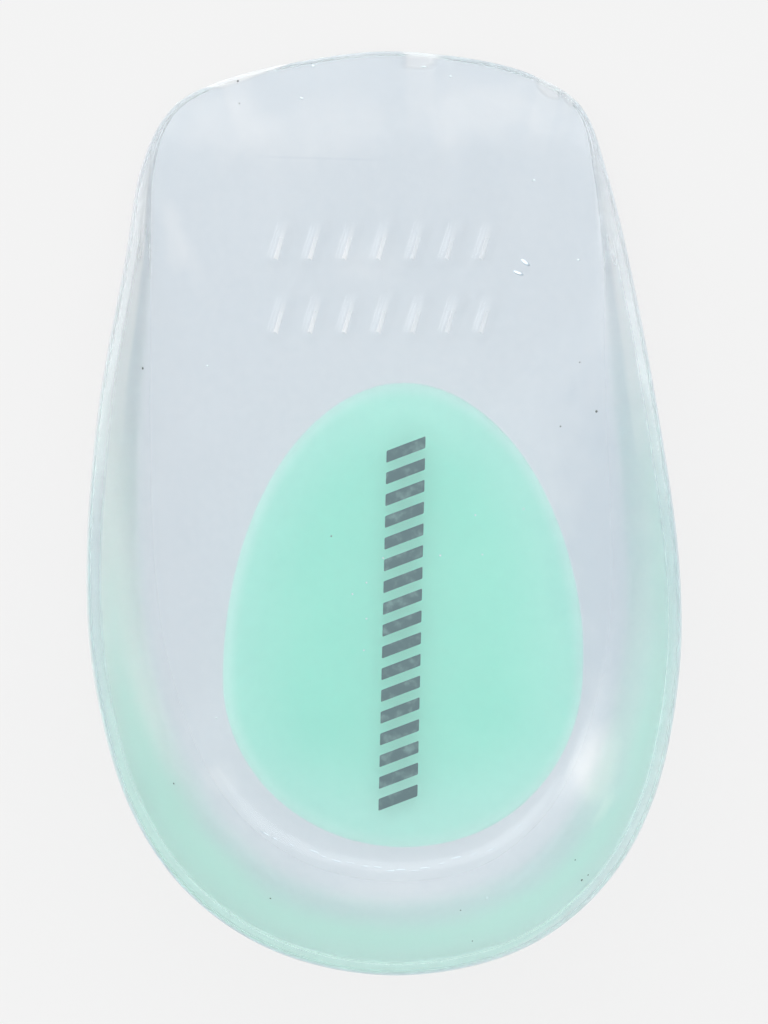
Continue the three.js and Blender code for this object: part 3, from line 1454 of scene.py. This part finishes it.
FLECKS = [
    Flecks("dust_specks", DUST, Fleck("dust", paint(84, 92, 92), paint(120, 128, 126))),
    Flecks("air_bubbles", BUBBLES, Fleck("air", paint(216, 226, 230), paint(204, 216, 222))),
    # Painted glints: pale flecks where the seat's wrinkles and nicks catch the light.
    Flecks("seat_wrinkle_glints", WRINKLE_GLINTS, Fleck("glint", paint(222, 232, 240), paint(206, 218, 228))),
]


class Light(NamedTuple):
    """A soft box: where it stands, how large it is and how bright, in metres and watts."""

    name: str
    place: tuple[float, float, float]
    size: tuple[float, float]
    power: float


SOFT_BOXES = [
    Light("front_panel", (0.0, 1.2, 1.6), (3.3, 0.8), 24.0),
    Light("left_box", (-1.8, 0.78, 0.8), (0.5, 1.1), 8.0),
]


@dataclass
class Studio:
    """The pale floor, the light and the camera."""

    floor_size: float = 6.0
    floor_drop: float = 0.00002
    pale: Colour = paint(244, 244, 244)
    glow: float = 0.9
    matt: float = 0.9
    white: Colour = paint(255, 255, 255)
    sky: float = 1.2
    daylight: float = 1.7
    camera_height: float = 1.6
    camera_back: float = 0.00015
    frame_height: float = 0.1171
    sensor: float = 36.0
    sees_to: float = 10.0

    def build(self) -> None:
        """Makes the whole stage."""
        self._floor()
        self._sky()
        for box in SOFT_BOXES:
            self._soft_box(box)
        self._camera()

    def _floor(self) -> None:
        """A wide pale floor just under the cup, lit a little from behind as a light table."""
        form = bmesh.new()
        bmesh.ops.create_grid(form, x_segments=1, y_segments=1, size=self.floor_size / 2)
        bmesh.ops.translate(form, vec=(0.0, 0.0, -self.floor_drop), verts=form.verts)
        floor = to_object(form, "studio_floor")
        dull = [channel * (1 - self.glow) / self.daylight for channel in self.pale[:3]]
        material = Sheet("studio_floor").skin(
            Base_Color=(*dull, 1.0),
            Roughness=self.matt,
            Specular_IOR_Level=0.0,
            Emission_Color=self.pale,
            Emission_Strength=self.glow,
        )
        floor.data.materials.append(material)

    def _sky(self) -> None:
        """An even white light from all round."""
        world = bpy.data.worlds.new("studio_light")
        world.use_nodes = True
        background = world.node_tree.nodes["Background"]
        background.inputs["Color"].default_value = self.white
        background.inputs["Strength"].default_value = self.sky
        bpy.context.scene.world = world
        bpy.context.scene.view_settings.view_transform = "Standard"

    def _soft_box(self, box: Light) -> None:
        """Sets up one soft box that faces the cup.

        Args:
            box: its place, size and power.
        """
        lamp = bpy.data.lights.new(box.name, "AREA")
        lamp.shape = "RECTANGLE"
        lamp.size, lamp.size_y = box.size
        lamp.energy = box.power
        made = bpy.data.objects.new(box.name, lamp)
        made.location = box.place
        made.rotation_euler = (-Vector(box.place)).to_track_quat("-Z", "Y").to_euler()
        bpy.context.scene.collection.objects.link(made)

    def _camera(self) -> None:
        """A long lens straight above the cup."""
        lens = bpy.data.cameras.new("camera")
        lens.sensor_width = self.sensor
        lens.lens = self.sensor * self.camera_height / self.frame_height
        lens.clip_end = self.sees_to
        camera = bpy.data.objects.new("camera", lens)
        camera.location = (0.0, -self.camera_back, self.camera_height)
        bpy.context.scene.collection.objects.link(camera)
        bpy.context.scene.camera = camera


def main() -> None:
    """Builds each part of the scene in turn and reports it."""
    logging.basicConfig(level=logging.INFO, format="%(name)s: %(message)s")
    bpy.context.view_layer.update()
    cup = SiliconeCup()
    shell = cup.build()
    report(shell)
    report(GelPad().build())
    report(PrintedBars().build(cup.form))
    for flecks in FLECKS:
        report(flecks.build(shell))
    Studio().build()


if __name__ == "__main__":
    main()
